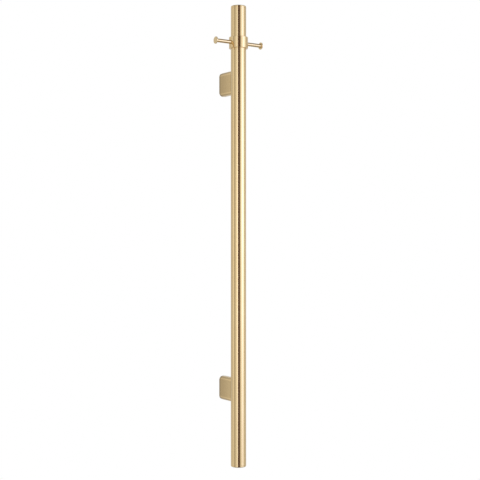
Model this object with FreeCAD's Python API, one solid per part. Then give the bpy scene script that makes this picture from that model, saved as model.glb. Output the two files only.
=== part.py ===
import FreeCAD, Part
import math
import os

# Vertical single-tube towel warmer with a sliding hook collar, in millimetres.
# +Z is up and +Y points at the wall. The origin is on the wall plane, midway
# between the two screw holes of the lower wall plate.

V = FreeCAD.Vector
X_AXIS = V(1, 0, 0)
Y_AXIS = V(0, 1, 0)
Z_AXIS = V(0, 0, 1)

# ---- the rail as a whole ----
RAIL_HEIGHT = 1200.0        # bottom face of the lower cap to top face of the upper cap
BRACKET_INSET = 197.0       # from each end of the rail to the centre of its bracket
TUBE_STANDOFF = 73.0        # wall plane to the axis of the tube

# ---- heated tube and its end caps ----
TUBE_OD = 40.0
TUBE_WALL = 1.5
SEAM_BEVEL = 0.35           # bevels on both sides of the joint between tube and cap
CAP_LIP = 5.7               # height of a cap outside the tube
CAP_EDGE_R = 2.2            # rounding of a cap's outer edge
CAP_SPIGOT = 14.0           # length of a cap inside the tube
CAP_SPIGOT_WALL = 3.0
CAP_FIT = 0.05              # radial gap between a spigot and the tube
SEAL_SECTION = 1.5          # O-ring thickness
SEAL_GROOVE_WIDTH = 2.1
SEAL_FROM_SEAM = 6.0        # seam to the middle of the O-ring

# ---- wall brackets: a hollow post slid over the spigot of a wall plate ----
POST_WIDTH = 25.0
POST_HEIGHT = 63.0
POST_CORNER_R = 11.0
POST_WALL = 2.0
POST_WEB = 5.0              # thickness at the tube, on the middle line
PLATE_THICKNESS = 6.0
PLATE_INSET = 0.4           # how far the plate's outline lies inside the post's
PLATE_CHAMFER = 0.3         # on the plate's visible edges and the post's wall end
SPIGOT_LENGTH = 12.0
SPIGOT_WALL = 2.2
SPIGOT_FIT = 0.1
WALL_SCREW_SPACING = 40.0
WALL_SCREW_HOLE_R = 2.6
WALL_SCREW_SINK_R = 4.6
WALL_SCREW_SINK_DEPTH = 2.0

# ---- screws that hold a post to the tube ----
POST_SCREW_R = 2.5
POST_SCREW_CLEARANCE = 0.25
POST_SCREW_SPACING = 36.0
POST_SCREW_HEAD_R = 4.25
POST_SCREW_HEAD_HEIGHT = 5.0
POST_SCREW_HEX = 4.0
POST_SCREW_TIP = 0.7        # how far a screw stands out of its nut plate
NUT_PLATE_THICKNESS = 3.0
NUT_PLATE_WIDTH = 16.0
NUT_PLATE_HEIGHT = 52.0

# ---- grub screws ----
GRUB_R = 2.0
GRUB_HEX = 2.0
GRUB_HEX_DEPTH = 1.6
GRUB_RECESS = 0.3           # how far a grub screw lies below the surface around it

# ---- rubber grommets ----
GROMMET_FIT = 0.1
GROMMET_FLANGE = 1.5
WIRE_GROMMET_R = 5.0
WIRE_GROMMET_BORE_R = 3.6
WIRE_GROMMET_FLANGE_R = 6.5
WIRE_GROMMET_TIP = 1.0      # how far it stands out of the nut plate
CABLE_GROMMET_BORE_R = 4.0
CABLE_GROMMET_SIDE_GAP = 0.4  # between its flange and the inside of the spigot
CABLE_GROMMET_SHOULDER = 1.0  # flange radius less sleeve radius

# ---- heating element inside the tube ----
ELEMENT_R = 2.5
ELEMENT_PITCH = 14.0        # between the two legs of the hairpin
ELEMENT_FORWARD = 3.0       # how far the legs lie in front of the tube's axis
ELEMENT_END_GAP = 20.0      # from a cap's spigot to the element
SPACER_THICKNESS = 4.0
SPACER_FIT = 0.1
SPACER_LEAD_FIT = 0.4
SPACER_FROM_BRACKET = 55.0
SPACER_FROM_ELEMENT_END = 18.0
SPACERS_BETWEEN_BRACKETS = 4

# ---- leads, splices and thermal cut-out ----
LEAD_R = 1.25
CONDUCTOR_R = 0.8
CONDUCTOR_LENGTH = 5.0
LEAD_BEND_R = 2.5
LEAD_SPREAD = 3.2           # between the two leads in the wire grommet
LEAD_BEHIND = 9.0           # how far the leads lie behind the tube's axis at the grommet
LEAD_LOOP_DROP = 14.0       # how far a lead drops below the element before it turns up
LEAD_CROSSOVER = (44.0, 26.0)  # depths below the bracket where the leads cross to the back
SPLICE_WALL = 0.7
SPLICE_OVER_ELEMENT = 7.0
SPLICE_OVER_LEAD = 6.0
CUTOUT_R = 2.6
CUTOUT_LENGTH = 18.0
CUTOUT_GAP = 0.05
TIE_THICKNESS = 0.8
TIE_WIDTH = 4.0

# ---- terminal block inside the lower post ----
BLOCK_SIDE_GAP = 3.9        # from the block's screw side to the post's inner wall
BLOCK_DEPTH = 14.0
BLOCK_HEIGHT = 25.0
BLOCK_GAP = 1.0             # between the block and the spigot behind it
BLOCK_LUG_HALF = 8.0        # half the height of the lug that carries the block
BLOCK_CLAW = 1.9
BLOCK_CLAW_FIT = 0.05
POLE_SPACING = 8.0
POLE_R = 2.4
POLE_BORE_R = 1.5
POLE_END_WALL = 1.2         # plastic left in front of each brass pole
CLAMP_SCREW_R = 1.1
CLAMP_SCREW_FIT = 0.2       # around a screw in the plastic
CLAMP_SCREW_RECESS = 1.0    # how far it lies below the block's screw side
CLAMP_SCREW_SLOT = 0.5
CLAMP_SCREW_SLOT_DEPTH = 0.8
CLAMP_SCREW_INSET = 2.6     # from each end of a pole

# ---- earth tag on the lower post's lower screw ----
TAG_THICKNESS = 0.8
TAG_R = 4.6
TAG_BARREL_R = 2.0
EARTH_LEAD_ROOM = 6.7       # from the barrel's end to the terminal block
EARTH_RISE_GAP = 2.6        # from the rising part of the earth lead to the block
TAG_BARREL_GAP = 0.3        # between the barrel and the screw's head

# ---- hook collar ----
HOOK_DROP = 96.0            # top end of the rail to the middle of the collar
COLLAR_WALL = 3.45          # from the groove that holds the liner to the outside
COLLAR_HEIGHT = 29.5
COLLAR_CHAMFER = 0.6
COLLAR_LIP = 2.0
COLLAR_LIP_GAP = 0.35       # radial gap between a lip and the tube
RUN_FIT = 0.05              # radial running fit, tube to liner and liner to collar
LINER_WALL = 1.2
LINER_END_FIT = 0.1
LINER_SLIT = 2.0

# ---- pegs on the collar ----
PEG_SPAN = 143.8            # over the outer faces of both pegs
PEG_ROD_R = 4.8
PEG_DISC_R = 9.3
PEG_FILLET_R = 3.0          # where the rod meets the disc
PEG_EDGE = 1.5
PEG_EDGE_CHAMFER = 0.3
PEG_STUD_R = 2.5
PEG_STUD_SHORT = 0.3        # how far the stud stops short of the collar's bore

# ---- allowances of the drawing itself ----
LEAST_FLAT = 0.1            # straight stretch always left between two bends or fillets
OVERCUT = 1.0               # how far a cutting shape runs past the face that it cuts

# ---- places worked out from the sizes above ----
TUBE_R = TUBE_OD / 2
TUBE_BORE_R = TUBE_R - TUBE_WALL
TUBE_Y = -TUBE_STANDOFF
RAIL_BOTTOM = -BRACKET_INSET
RAIL_TOP = RAIL_BOTTOM + RAIL_HEIGHT
LOWER_Z = 0.0
UPPER_Z = RAIL_TOP - BRACKET_INSET
WEB_Y = TUBE_Y + TUBE_R + POST_WEB
PLATE_FRONT_Y = -PLATE_THICKNESS
SPIGOT_FRONT_Y = PLATE_FRONT_Y - SPIGOT_LENGTH
NUT_PLATE_R = TUBE_BORE_R - NUT_PLATE_THICKNESS
ELEMENT_BOTTOM = RAIL_BOTTOM + CAP_LIP + CAP_SPIGOT + ELEMENT_END_GAP
ELEMENT_TOP = RAIL_TOP - CAP_LIP - CAP_SPIGOT - ELEMENT_END_GAP
ELEMENT_Y = TUBE_Y - ELEMENT_FORWARD
RISER_Y = ELEMENT_Y + ELEMENT_R + CUTOUT_GAP + CUTOUT_R
POST_INNER_X = POST_WIDTH / 2 - POST_WALL
SPIGOT_INNER_X = POST_INNER_X - SPIGOT_FIT - SPIGOT_WALL
CABLE_GROMMET_FLANGE_R = SPIGOT_INNER_X - CABLE_GROMMET_SIDE_GAP
CABLE_GROMMET_R = CABLE_GROMMET_FLANGE_R - CABLE_GROMMET_SHOULDER
BLOCK_BACK_Y = SPIGOT_FRONT_Y - BLOCK_GAP
BLOCK_FRONT_Y = BLOCK_BACK_Y - BLOCK_DEPTH
BLOCK_TOP_X = POST_INNER_X - BLOCK_SIDE_GAP
POLE_X = (BLOCK_TOP_X - SPIGOT_INNER_X) / 2
TAG_SEAT_Y = WEB_Y + TAG_THICKNESS
TAG_BARREL_END_Y = BLOCK_FRONT_Y - EARTH_LEAD_ROOM
EARTH_SCREW_Z = LOWER_Z - POST_SCREW_SPACING / 2
HOOK_Z = RAIL_TOP - HOOK_DROP
LINER_R = TUBE_R + RUN_FIT + LINER_WALL
COLLAR_BORE_R = LINER_R + RUN_FIT
COLLAR_R = COLLAR_BORE_R + COLLAR_WALL


def cylinder(radius, start, end):
    """A round bar from one point to another."""
    run = end - start
    return Part.makeCylinder(radius, run.Length, start, run)


def tube_cylinder(radius, z_low, z_high):
    """A round bar on the tube's axis."""
    return cylinder(radius, V(0, TUBE_Y, z_low), V(0, TUBE_Y, z_high))


def block(x_range, y_range, z_range):
    """A box between two values on each axis."""
    size = [high - low for low, high in (x_range, y_range, z_range)]
    return Part.makeBox(size[0], size[1], size[2], V(x_range[0], y_range[0], z_range[0]))


def rounded_bar(inset, y_start, y_end, z_middle):
    """A bar along Y with the post's outline, drawn in by inset all round."""
    width = POST_WIDTH - 2 * inset
    height = POST_HEIGHT - 2 * inset
    corner_r = min(POST_CORNER_R - inset, min(width, height) / 2 - LEAST_FLAT)
    bar = block((-width / 2, width / 2), (y_start, y_end), (z_middle - height / 2, z_middle + height / 2))
    corners = [edge for edge in bar.Edges if abs(edge.tangentAt(edge.FirstParameter).y) > 0.99]
    return bar.makeFillet(corner_r, corners)


def chamfered_at(bar, y):
    """Chamfers the outline of a bar's end face at y."""
    rim = [edge for edge in bar.Edges if abs(edge.BoundBox.YMin - y) + abs(edge.BoundBox.YMax - y) < 1e-6]
    return bar.makeChamfer(PLATE_CHAMFER, rim)


def turned(outline, centre, direction):
    """A solid turned from (radius, distance) points about a line through centre."""
    points = [V(radius, 0, distance) for radius, distance in outline]
    face = Part.Face(Part.makePolygon(points + points[:1]))
    solid = face.revolve(V(0, 0, 0), Z_AXIS, 360)
    return placed(solid, centre, direction)


def placed(shape, centre, direction):
    """Turns a shape's +Z to direction and moves its origin to centre."""
    shape = shape.copy()
    shape.Placement = FreeCAD.Placement(centre, FreeCAD.Rotation(Z_AXIS, direction))
    return shape


def hex_socket(across_flats, depth, centre, direction):
    """A hexagonal prism that starts at centre and goes along direction."""
    corner_r = across_flats / math.sqrt(3)
    points = [
        V(corner_r * math.cos(turn), corner_r * math.sin(turn), 0)
        for turn in (math.radians(60 * side) for side in range(7))
    ]
    prism = Part.Face(Part.makePolygon(points)).extrude(V(0, 0, depth))
    return placed(prism, centre, direction)


def wire_run(points, bend_r, radius):
    """A round wire along straight runs, with a tangent arc at every turn."""
    edges = []
    last = points[0]
    for before, corner, after in zip(points, points[1:], points[2:]):
        back = (before - corner).normalize()
        ahead = (after - corner).normalize()
        half = back.getAngle(ahead) / 2
        reach = bend_r / math.tan(half)
        start = corner + back * reach
        end = corner + ahead * reach
        bisector = (back + ahead).normalize()
        middle = corner + bisector * (bend_r / math.sin(half) - bend_r)
        if (start - last).Length > 1e-6:
            edges.append(Part.makeLine(last, start))
        edges.append(Part.Arc(start, middle, end).toShape())
        last = end
    edges.append(Part.makeLine(last, points[-1]))
    path = Part.Wire(edges)
    section = Part.Wire([Part.makeCircle(radius, points[0], points[1] - points[0])])
    return path.makePipeShell([section], True, True)


def joined(shapes):
    """One clean solid from several that touch or overlap."""
    return shapes[0].fuse(shapes[1:]).removeSplitter()


# ---- rail: tube, caps and seals ----

def heated_tube():
    low = RAIL_BOTTOM + CAP_LIP
    high = RAIL_TOP - CAP_LIP
    outline = [
        (TUBE_BORE_R, low),
        (TUBE_R - SEAM_BEVEL, low),
        (TUBE_R, low + SEAM_BEVEL),
        (TUBE_R, high - SEAM_BEVEL),
        (TUBE_R - SEAM_BEVEL, high),
        (TUBE_BORE_R, high),
    ]
    tube = turned(outline, V(0, TUBE_Y, 0), Z_AXIS)
    holes = [post_screw_hole(z) for z in screw_heights(LOWER_Z) + screw_heights(UPPER_Z)]
    return tube.cut(holes + [wire_hole()])


def screw_heights(bracket_z):
    return [bracket_z - POST_SCREW_SPACING / 2, bracket_z + POST_SCREW_SPACING / 2]


def post_screw_hole(z):
    """Clearance hole through the post's web and the back of the tube."""
    radius = POST_SCREW_R + POST_SCREW_CLEARANCE
    return cylinder(radius, V(0, TUBE_Y, z), V(0, WEB_Y + OVERCUT, z))


def wire_hole():
    """Hole for the wire grommet, through web, tube and nut plate."""
    return cylinder(WIRE_GROMMET_R + GROMMET_FIT, V(0, TUBE_Y, LOWER_Z), V(0, WEB_Y + OVERCUT, LOWER_Z))


def end_cap(seam_z, outward):
    """A cap whose lip goes outward from the seam, with its spigot in the tube."""
    spigot_r = TUBE_BORE_R - CAP_FIT
    groove_r = TUBE_BORE_R - SEAL_SECTION
    groove_start = -SEAL_FROM_SEAM + SEAL_GROOVE_WIDTH / 2
    groove_end = -SEAL_FROM_SEAM - SEAL_GROOVE_WIDTH / 2
    outline = [
        (0, CAP_LIP),
        (TUBE_R, CAP_LIP),
        (TUBE_R, SEAM_BEVEL),
        (TUBE_R - SEAM_BEVEL, 0),
        (spigot_r, 0),
        (spigot_r, groove_start),
        (groove_r, groove_start),
        (groove_r, groove_end),
        (spigot_r, groove_end),
        (spigot_r, -CAP_SPIGOT),
        (spigot_r - CAP_SPIGOT_WALL, -CAP_SPIGOT),
        (spigot_r - CAP_SPIGOT_WALL, 0),
        (0, 0),
    ]
    cap = turned(outline, V(0, 0, 0), Z_AXIS)
    rim = [
        edge
        for edge in cap.Edges
        if abs(edge.BoundBox.ZMin - CAP_LIP) < 1e-6 and abs(edge.BoundBox.XMax - TUBE_R) < 1e-6
    ]
    return placed(cap.makeFillet(CAP_EDGE_R, rim), V(0, TUBE_Y, seam_z), Z_AXIS * outward)


def end_cap_seals():
    middle_r = TUBE_BORE_R - SEAL_SECTION / 2
    heights = [
        RAIL_BOTTOM + CAP_LIP + SEAL_FROM_SEAM,
        RAIL_TOP - CAP_LIP - SEAL_FROM_SEAM,
    ]
    rings = [Part.makeTorus(middle_r, SEAL_SECTION / 2, V(0, TUBE_Y, z)) for z in heights]
    return Part.makeCompound(rings)


# ---- brackets ----

def post(bracket_z, carries_wires):
    """Hollow post: saddle against the tube, open at the wall end."""
    bar = rounded_bar(0, TUBE_Y + TUBE_R / 2, PLATE_FRONT_Y, bracket_z)
    shell = chamfered_at(bar, PLATE_FRONT_Y)
    hollow = rounded_bar(POST_WALL, WEB_Y, PLATE_FRONT_Y + OVERCUT, bracket_z)
    saddle = tube_cylinder(TUBE_R, bracket_z - POST_HEIGHT, bracket_z + POST_HEIGHT)
    holes = [post_screw_hole(z) for z in screw_heights(bracket_z)]
    holes.append(post_grub_hole(bracket_z))
    if carries_wires:
        holes.append(wire_hole())
    return shell.cut([hollow, saddle] + holes)


def grub_y():
    """Middle of the spigot, where the grub screw from below holds the post."""
    return (PLATE_FRONT_Y + SPIGOT_FRONT_Y) / 2


def post_grub_hole(bracket_z):
    under = bracket_z - POST_HEIGHT / 2
    return cylinder(GRUB_R, V(0, grub_y(), under - OVERCUT), V(0, grub_y(), spigot_inner_z(bracket_z)))


def spigot_inner_z(bracket_z):
    """Inner face of the spigot's lower wall."""
    return bracket_z - POST_HEIGHT / 2 + POST_WALL + SPIGOT_FIT + SPIGOT_WALL


def post_grub_screws():
    screws = []
    for bracket_z in (LOWER_Z, UPPER_Z):
        low = V(0, grub_y(), bracket_z - POST_HEIGHT / 2 + GRUB_RECESS)
        high = V(0, grub_y(), spigot_inner_z(bracket_z))
        screw = cylinder(GRUB_R, low, high)
        screws.append(screw.cut(hex_socket(GRUB_HEX, GRUB_HEX_DEPTH, low, Z_AXIS)))
    return Part.makeCompound(screws)


def wall_plate(bracket_z, carries_wires):
    """Plate against the wall with a hollow spigot that the post slides over."""
    plate = chamfered_at(rounded_bar(PLATE_INSET, PLATE_FRONT_Y, 0, bracket_z), 0)
    outer = POST_WALL + SPIGOT_FIT
    spigot = rounded_bar(outer, SPIGOT_FRONT_Y, PLATE_FRONT_Y, bracket_z)
    inside = rounded_bar(outer + SPIGOT_WALL, SPIGOT_FRONT_Y - OVERCUT, PLATE_FRONT_Y, bracket_z)
    holes = [wall_screw_hole(bracket_z + side * WALL_SCREW_SPACING / 2) for side in (-1, 1)]
    body = joined([plate, spigot.cut(inside)]).cut(holes + [post_grub_hole(bracket_z)])
    if carries_wires:
        lug = block(
            (-SPIGOT_INNER_X - SPIGOT_WALL, -SPIGOT_INNER_X),
            (BLOCK_FRONT_Y, SPIGOT_FRONT_Y),
            (bracket_z - BLOCK_LUG_HALF, bracket_z + BLOCK_LUG_HALF),
        )
        cable_hole = cylinder(
            CABLE_GROMMET_R + GROMMET_FIT,
            V(0, PLATE_FRONT_Y - OVERCUT, bracket_z),
            V(0, OVERCUT, bracket_z),
        )
        body = joined([body, lug]).cut(cable_hole)
    return body


def wall_screw_hole(z):
    """Countersunk hole, wide side away from the wall."""
    sink_end = PLATE_FRONT_Y + WALL_SCREW_SINK_DEPTH
    shank = cylinder(WALL_SCREW_HOLE_R, V(0, PLATE_FRONT_Y, z), V(0, OVERCUT, z))
    sink = Part.makeCone(
        WALL_SCREW_SINK_R,
        WALL_SCREW_HOLE_R,
        sink_end - PLATE_FRONT_Y,
        V(0, PLATE_FRONT_Y, z),
        Y_AXIS,
    )
    return shank.fuse(sink)


def nut_plate(bracket_z, carries_wires):
    """Curved plate inside the tube, threaded for the post's screws."""
    low = bracket_z - NUT_PLATE_HEIGHT / 2
    high = bracket_z + NUT_PLATE_HEIGHT / 2
    ring = tube_cylinder(TUBE_BORE_R, low, high).cut(tube_cylinder(NUT_PLATE_R, low, high))
    back = block(
        (-NUT_PLATE_WIDTH / 2, NUT_PLATE_WIDTH / 2),
        (TUBE_Y, TUBE_Y + TUBE_R),
        (low, high),
    )
    threads = [
        cylinder(POST_SCREW_R, V(0, TUBE_Y, z), V(0, TUBE_Y + TUBE_R, z))
        for z in screw_heights(bracket_z)
    ]
    plate = ring.common(back).cut(threads)
    return plate.cut(wire_hole()) if carries_wires else plate


def post_screws():
    tip_y = TUBE_Y + NUT_PLATE_R - POST_SCREW_TIP
    screws = []
    for z in screw_heights(LOWER_Z) + screw_heights(UPPER_Z):
        seat_y = TAG_SEAT_Y if z == EARTH_SCREW_Z else WEB_Y
        top_y = seat_y + POST_SCREW_HEAD_HEIGHT
        shank = cylinder(POST_SCREW_R, V(0, tip_y, z), V(0, seat_y, z))
        head = cylinder(POST_SCREW_HEAD_R, V(0, seat_y, z), V(0, top_y, z))
        socket = hex_socket(POST_SCREW_HEX, POST_SCREW_HEAD_HEIGHT / 2, V(0, top_y, z), -Y_AXIS)
        screws.append(joined([shank, head]).cut(socket))
    return Part.makeCompound(screws)


# ---- grommets ----

def wire_grommet():
    inner_y = TUBE_Y + NUT_PLATE_R - WIRE_GROMMET_TIP
    flange_y = WEB_Y + GROMMET_FLANGE
    sleeve = cylinder(WIRE_GROMMET_R, V(0, inner_y, LOWER_Z), V(0, WEB_Y, LOWER_Z))
    flange = cylinder(WIRE_GROMMET_FLANGE_R, V(0, WEB_Y, LOWER_Z), V(0, flange_y, LOWER_Z))
    bore = cylinder(WIRE_GROMMET_BORE_R, V(0, inner_y - OVERCUT, LOWER_Z), V(0, flange_y + OVERCUT, LOWER_Z))
    return joined([sleeve, flange]).cut(bore)


def cable_grommet():
    flange_y = PLATE_FRONT_Y - GROMMET_FLANGE
    sleeve = cylinder(CABLE_GROMMET_R, V(0, PLATE_FRONT_Y, LOWER_Z), V(0, 0, LOWER_Z))
    flange = cylinder(CABLE_GROMMET_FLANGE_R, V(0, flange_y, LOWER_Z), V(0, PLATE_FRONT_Y, LOWER_Z))
    bore = cylinder(CABLE_GROMMET_BORE_R, V(0, flange_y - OVERCUT, LOWER_Z), V(0, OVERCUT, LOWER_Z))
    return joined([sleeve, flange]).cut(bore)


# ---- heating element ----

def heating_element():
    """Hairpin of silicone-covered heating cable, open end down."""
    bend_r = ELEMENT_PITCH / 2
    left = -ELEMENT_PITCH / 2
    right = ELEMENT_PITCH / 2
    bend_z = ELEMENT_TOP - ELEMENT_R - bend_r
    leg_left = cylinder(ELEMENT_R, V(left, ELEMENT_Y, ELEMENT_BOTTOM), V(left, ELEMENT_Y, bend_z))
    leg_right = cylinder(ELEMENT_R, V(right, ELEMENT_Y, ELEMENT_BOTTOM), V(right, ELEMENT_Y, bend_z))
    ring = Part.makeTorus(bend_r, ELEMENT_R, V(0, ELEMENT_Y, bend_z), Y_AXIS)
    reach = bend_r + ELEMENT_R + 1
    upper_half = block((-reach, reach), (ELEMENT_Y - reach, ELEMENT_Y + reach), (bend_z, bend_z + reach))
    return joined([leg_left, ring.common(upper_half), leg_right])


def spacer_heights():
    low = [ELEMENT_BOTTOM + SPACER_FROM_ELEMENT_END, LOWER_Z - SPACER_FROM_BRACKET]
    start = LOWER_Z + SPACER_FROM_BRACKET
    step = (UPPER_Z - SPACER_FROM_BRACKET - start) / (SPACERS_BETWEEN_BRACKETS - 1)
    middle = [start + step * place for place in range(SPACERS_BETWEEN_BRACKETS)]
    high = [UPPER_Z + SPACER_FROM_BRACKET, ELEMENT_TOP - SPACER_FROM_ELEMENT_END - ELEMENT_PITCH / 2]
    return low + middle + high


def element_spacers():
    """Discs that centre the legs, each leg hole running back to a slot for a lead."""
    spacers = []
    slot_r = LEAD_R + SPACER_LEAD_FIT
    for z in spacer_heights():
        low = z - SPACER_THICKNESS / 2
        high = z + SPACER_THICKNESS / 2
        disc = tube_cylinder(TUBE_BORE_R - SPACER_FIT, low, high)
        cuts = []
        for x in (-ELEMENT_PITCH / 2, ELEMENT_PITCH / 2):
            cuts.append(cylinder(ELEMENT_R, V(x, ELEMENT_Y, low - OVERCUT), V(x, ELEMENT_Y, high + OVERCUT)))
            cuts.append(cylinder(slot_r, V(x, RISER_Y, low - OVERCUT), V(x, RISER_Y, high + OVERCUT)))
            sides = (x - slot_r, x + slot_r)
            cuts.append(block(sides, (ELEMENT_Y, RISER_Y), (low - OVERCUT, high + OVERCUT)))
        spacers.append(disc.cut(cuts))
    return Part.makeCompound(spacers)


# ---- leads, splices and cut-out ----

def cutout_z():
    """Middle of the cut-out, halfway between the two lowest spacers."""
    lowest, second = spacer_heights()[:2]
    return (lowest + second) / 2


def lead_from_element(x):
    """Points from a leg's lower end, down and round to the riser behind it."""
    turn_z = ELEMENT_BOTTOM - LEAD_LOOP_DROP
    return [V(x, ELEMENT_Y, ELEMENT_BOTTOM), V(x, ELEMENT_Y, turn_z), V(x, RISER_Y, turn_z)]


def lead_to_terminal(x_riser, x_grommet, pole_z):
    """Points from the riser to the back of the tube, through the grommet and into a pole."""
    low, high = LEAD_CROSSOVER
    back_y = TUBE_Y + LEAD_BEHIND
    leave_y = WEB_Y + GROMMET_FLANGE + LEAD_BEND_R
    arrive_y = BLOCK_FRONT_Y - LEAD_BEND_R
    return [
        V(x_riser, RISER_Y, LOWER_Z - low),
        V(x_grommet, back_y, LOWER_Z - high),
        V(x_grommet, back_y, LOWER_Z),
        V(x_grommet, leave_y, LOWER_Z),
        V(POLE_X, arrive_y, pole_z),
        V(POLE_X, BLOCK_FRONT_Y + POLE_END_WALL, pole_z),
    ]


def conductor(pole_z):
    """Bare end of a lead inside its brass pole."""
    start = V(POLE_X, BLOCK_FRONT_Y + POLE_END_WALL, pole_z)
    return cylinder(CONDUCTOR_R, start, start + Y_AXIS * CONDUCTOR_LENGTH)


def loop_bend_r():
    """Half of the distance between a leg and its riser, less a little straight."""
    return (RISER_Y - ELEMENT_Y) / 2 - LEAST_FLAT


def lead_loop(x, end_z):
    """Lead from a leg's end round to a height on its riser."""
    points = lead_from_element(x) + [V(x, RISER_Y, end_z)]
    return wire_run(points, loop_bend_r(), LEAD_R)


def neutral_lead():
    x = -ELEMENT_PITCH / 2
    join_z = cutout_z()
    lower = lead_loop(x, join_z)
    upper_points = [V(x, RISER_Y, join_z)] + lead_to_terminal(x, -LEAD_SPREAD / 2, LOWER_Z)
    upper = wire_run(upper_points, LEAD_BEND_R, LEAD_R)
    return joined([lower, upper, conductor(LOWER_Z)])


def live_lead():
    x = ELEMENT_PITCH / 2
    pole_z = LOWER_Z + POLE_SPACING
    start = V(x, RISER_Y, cutout_z() + CUTOUT_LENGTH / 2)
    points = [start] + lead_to_terminal(x, LEAD_SPREAD / 2, pole_z)
    return joined([wire_run(points, LEAD_BEND_R, LEAD_R), conductor(pole_z)])


def cutout_lead():
    return lead_loop(ELEMENT_PITCH / 2, cutout_z() - CUTOUT_LENGTH / 2)


def splice_sleeves():
    """Crimp sleeves over each leg's end and its lead."""
    sleeves = []
    low = ELEMENT_BOTTOM - SPLICE_OVER_LEAD
    high = ELEMENT_BOTTOM + SPLICE_OVER_ELEMENT
    for x in (-ELEMENT_PITCH / 2, ELEMENT_PITCH / 2):
        end = V(x, ELEMENT_Y, ELEMENT_BOTTOM)
        sleeve = cylinder(ELEMENT_R + SPLICE_WALL, V(x, ELEMENT_Y, low), V(x, ELEMENT_Y, high))
        leg = cylinder(ELEMENT_R, end, V(x, ELEMENT_Y, high + OVERCUT))
        lead = cylinder(LEAD_R, V(x, ELEMENT_Y, low - OVERCUT), end)
        sleeves.append(sleeve.cut([leg, lead]))
    return Part.makeCompound(sleeves)


def thermal_cutout():
    x = ELEMENT_PITCH / 2
    low = V(x, RISER_Y, cutout_z() - CUTOUT_LENGTH / 2)
    high = V(x, RISER_Y, cutout_z() + CUTOUT_LENGTH / 2)
    return cylinder(CUTOUT_R, low, high)


def belt(leg_r, cutout_r):
    """Two round ends joined by their tangents, round a leg and the cut-out."""
    x = ELEMENT_PITCH / 2
    low = cutout_z() - TIE_WIDTH / 2
    leg = V(x, ELEMENT_Y, low)
    cutout = V(x, RISER_Y, low)
    lean = math.asin((leg_r - cutout_r) / (RISER_Y - ELEMENT_Y))
    right = V(math.cos(lean), math.sin(lean), 0)
    left = V(-math.cos(lean), math.sin(lean), 0)
    edges = [
        Part.Arc(leg + right * leg_r, leg - Y_AXIS * leg_r, leg + left * leg_r).toShape(),
        Part.makeLine(leg + left * leg_r, cutout + left * cutout_r),
        Part.Arc(cutout + left * cutout_r, cutout + Y_AXIS * cutout_r, cutout + right * cutout_r).toShape(),
        Part.makeLine(cutout + right * cutout_r, leg + right * leg_r),
    ]
    return Part.Face(Part.Wire(edges)).extrude(V(0, 0, TIE_WIDTH))


def cutout_tie():
    """Band round the cut-out and the leg beside it."""
    outside = belt(ELEMENT_R + TIE_THICKNESS, CUTOUT_R + TIE_THICKNESS)
    return outside.cut(belt(ELEMENT_R, CUTOUT_R))


# ---- terminal block ----

def pole_heights():
    return [LOWER_Z + POLE_SPACING * place for place in (-1, 0, 1)]


def terminal_block():
    """Three-pole housing that slides over the wall plate's lug."""
    half = BLOCK_HEIGHT / 2
    body = block(
        (-SPIGOT_INNER_X, BLOCK_TOP_X),
        (BLOCK_FRONT_Y, BLOCK_BACK_Y),
        (LOWER_Z - half, LOWER_Z + half),
    )
    claw_x = (-SPIGOT_INNER_X - SPIGOT_WALL + 2 * BLOCK_CLAW_FIT, -SPIGOT_INNER_X)
    claw_low = BLOCK_LUG_HALF + BLOCK_CLAW_FIT
    claws = [
        block(claw_x, (BLOCK_FRONT_Y, BLOCK_BACK_Y), (LOWER_Z + claw_low, LOWER_Z + claw_low + BLOCK_CLAW)),
        block(claw_x, (BLOCK_FRONT_Y, BLOCK_BACK_Y), (LOWER_Z - claw_low - BLOCK_CLAW, LOWER_Z - claw_low)),
    ]
    cuts = []
    for z in pole_heights():
        front = BLOCK_FRONT_Y + POLE_END_WALL
        cuts.append(cylinder(POLE_R, V(POLE_X, front, z), V(POLE_X, BLOCK_BACK_Y + OVERCUT, z)))
        cuts.append(cylinder(POLE_BORE_R, V(POLE_X, BLOCK_FRONT_Y - OVERCUT, z), V(POLE_X, front, z)))
        for y in clamp_screw_places():
            screw_top = V(BLOCK_TOP_X + OVERCUT, y, z)
            cuts.append(cylinder(CLAMP_SCREW_R + CLAMP_SCREW_FIT, V(POLE_X, y, z), screw_top))
    return joined([body] + claws).cut(cuts)


def clamp_screw_places():
    front = BLOCK_FRONT_Y + POLE_END_WALL
    return [front + CLAMP_SCREW_INSET, BLOCK_BACK_Y - CLAMP_SCREW_INSET]


def terminal_poles():
    poles = []
    front = BLOCK_FRONT_Y + POLE_END_WALL
    for z in pole_heights():
        pole = cylinder(POLE_R, V(POLE_X, front, z), V(POLE_X, BLOCK_BACK_Y, z))
        cuts = [cylinder(POLE_BORE_R, V(POLE_X, front - OVERCUT, z), V(POLE_X, BLOCK_BACK_Y + OVERCUT, z))]
        for y in clamp_screw_places():
            cuts.append(cylinder(CLAMP_SCREW_R, V(POLE_X, y, z), V(POLE_X + POLE_R + OVERCUT, y, z)))
        poles.append(pole.cut(cuts))
    return Part.makeCompound(poles)


def clamp_screws():
    """Slotted screws, front ones down on the conductors, back ones left open."""
    screws = []
    top_x = BLOCK_TOP_X - CLAMP_SCREW_RECESS
    for z in pole_heights():
        for y, tip_x in zip(clamp_screw_places(), (POLE_X + CONDUCTOR_R, POLE_X + POLE_BORE_R)):
            screw = cylinder(CLAMP_SCREW_R, V(tip_x, y, z), V(top_x, y, z))
            slot = block(
                (top_x - CLAMP_SCREW_SLOT_DEPTH, top_x),
                (y - 2 * CLAMP_SCREW_R, y + 2 * CLAMP_SCREW_R),
                (z - CLAMP_SCREW_SLOT / 2, z + CLAMP_SCREW_SLOT / 2),
            )
            screws.append(screw.cut(slot))
    return Part.makeCompound(screws)


# ---- earth ----

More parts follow.
